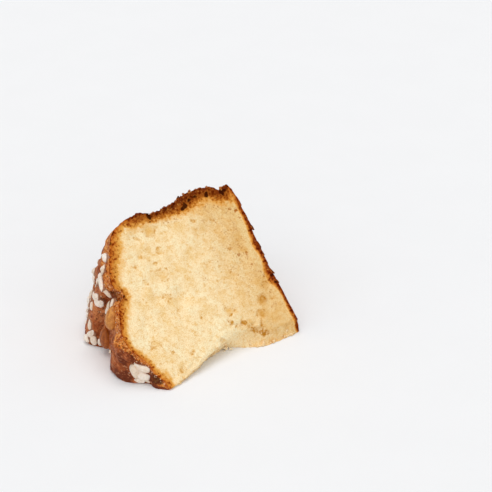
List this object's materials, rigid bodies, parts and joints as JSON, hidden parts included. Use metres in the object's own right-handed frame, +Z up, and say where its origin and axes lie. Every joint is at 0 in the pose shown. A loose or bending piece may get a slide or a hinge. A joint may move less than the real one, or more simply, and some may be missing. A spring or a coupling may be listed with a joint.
{
  "type": "festive bread slice",
  "caption": "Wedge slice of a low, wide, golden festive bread with a glazed dome, sugar nibs and whole almonds, lying on one cut face.",
  "frame": {"origin": "on the table, under the middle of the slice's footprint", "axes": "+X along the axis of the whole loaf, from the glazed dome to the flat base; +Y from the torn centre out to the side crust; +Z up from the cut face that lies on the table"},
  "size_m": [0.1221, 0.1104, 0.0756],
  "materials": {
    "bread": "soft yellow crumb, browned crust, hazelnut glaze and white sugar nibs",
    "almond": "brown almond skin under a thin glaze"
  },
  "bodies": {
    "root": {"slice": "bread", "almond_upper": "almond", "almond_lower": "almond", "almond_fold": "almond", "almond_shoulder_low": "almond", "almond_shoulder_high": "almond"}
  },
  "joints": []
}
